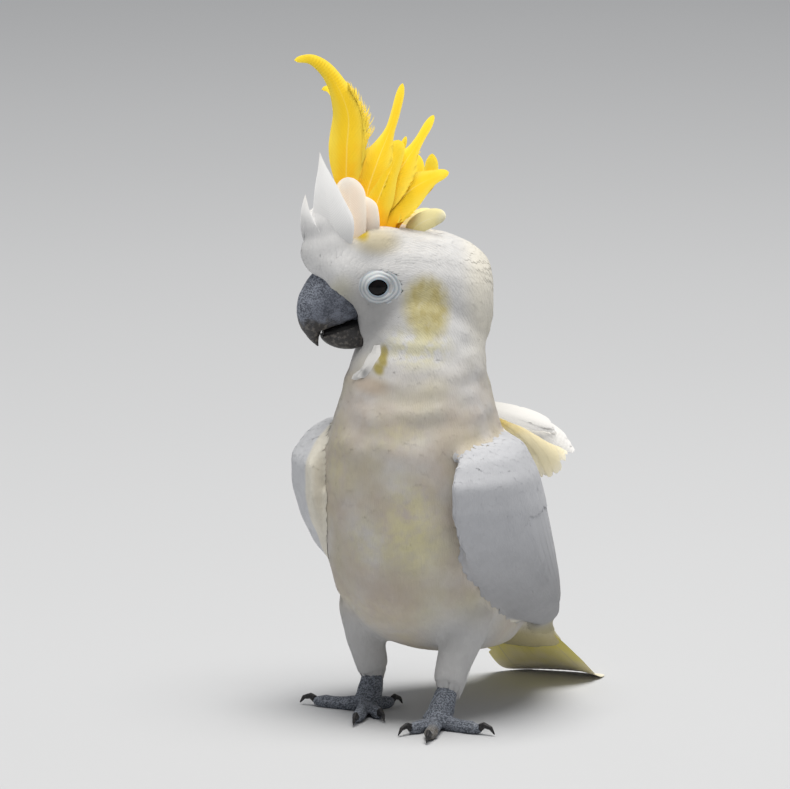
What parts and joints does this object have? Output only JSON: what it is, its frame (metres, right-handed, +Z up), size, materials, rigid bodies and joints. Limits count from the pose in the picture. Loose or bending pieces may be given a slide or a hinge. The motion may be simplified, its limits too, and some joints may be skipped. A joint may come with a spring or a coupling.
{
  "type": "sulphur-crested cockatoo",
  "caption": "White cockatoo with a raised yellow crest, hooked dark bill and folded wings, standing upright with its head turned, as a still life-size model.",
  "frame": {"origin": "centre of the bounding box's floor, on the floor the bird stands on", "axes": "+X to the bird's left, -Y the way its breast faces, +Z up"},
  "size_m": [0.155, 0.224, 0.3941],
  "materials": {
    "plumage_white": "matte white feathers with faint cream and pinkish staining",
    "plumage_tail": "matte white feathers, pale yellow beneath",
    "crest_yellow": "matte bright yellow feathers",
    "crest_cream": "matte cream feathers",
    "bill_horn": "dark grey horn, worn and powdery",
    "claw_horn": "dark horn, faint sheen",
    "foot_skin": "dark grey scaly skin, matte",
    "eye": "wet gloss, nearly black",
    "eye_ring": "pale bluish bare skin, finely folded"
  },
  "bodies": {
    "root": {"bill_lower": "bill_horn", "bill_upper": "bill_horn", "claw_left_hallux": "claw_horn", "claw_left_inner": "claw_horn", "claw_left_middle": "claw_horn", "claw_left_outer": "claw_horn", "claw_right_hallux": "claw_horn", "claw_right_inner": "claw_horn", "claw_right_middle": "claw_horn", "claw_right_outer": "claw_horn", "crest_cream_1_left": "crest_cream", "crest_cream_1_right": "crest_cream", "crest_cream_2_left": "crest_cream", "crest_cream_2_right": "crest_cream", "crest_pale_left": "crest_cream", "crest_pale_right": "crest_cream", "crest_white_1_left": "plumage_white", "crest_white_1_right": "plumage_white", "crest_white_2_left": "plumage_white", "crest_white_2_right": "plumage_white", "crest_yellow_1_left": "crest_yellow", "crest_yellow_1_right": "crest_yellow", "crest_yellow_2_left": "crest_yellow", "crest_yellow_2_right": "crest_yellow", "crest_yellow_3_left": "crest_yellow", "crest_yellow_3_right": "crest_yellow", "crest_yellow_4_left": "crest_yellow", "crest_yellow_4_right": "crest_yellow", "eye_left": "eye", "eye_right": "eye", "foot_left": "foot_skin", "foot_right": "foot_skin", "head": "plumage_white", "leg_left": "plumage_white", "leg_right": "plumage_white", "neck": "plumage_white", "scapular_fan": "plumage_white", "scapular_middle": "plumage_white", "scapular_upper": "plumage_white", "tail": "plumage_tail", "trunk": "plumage_white", "wing_left": "plumage_white", "wing_right": "plumage_white"}
  },
  "joints": []
}
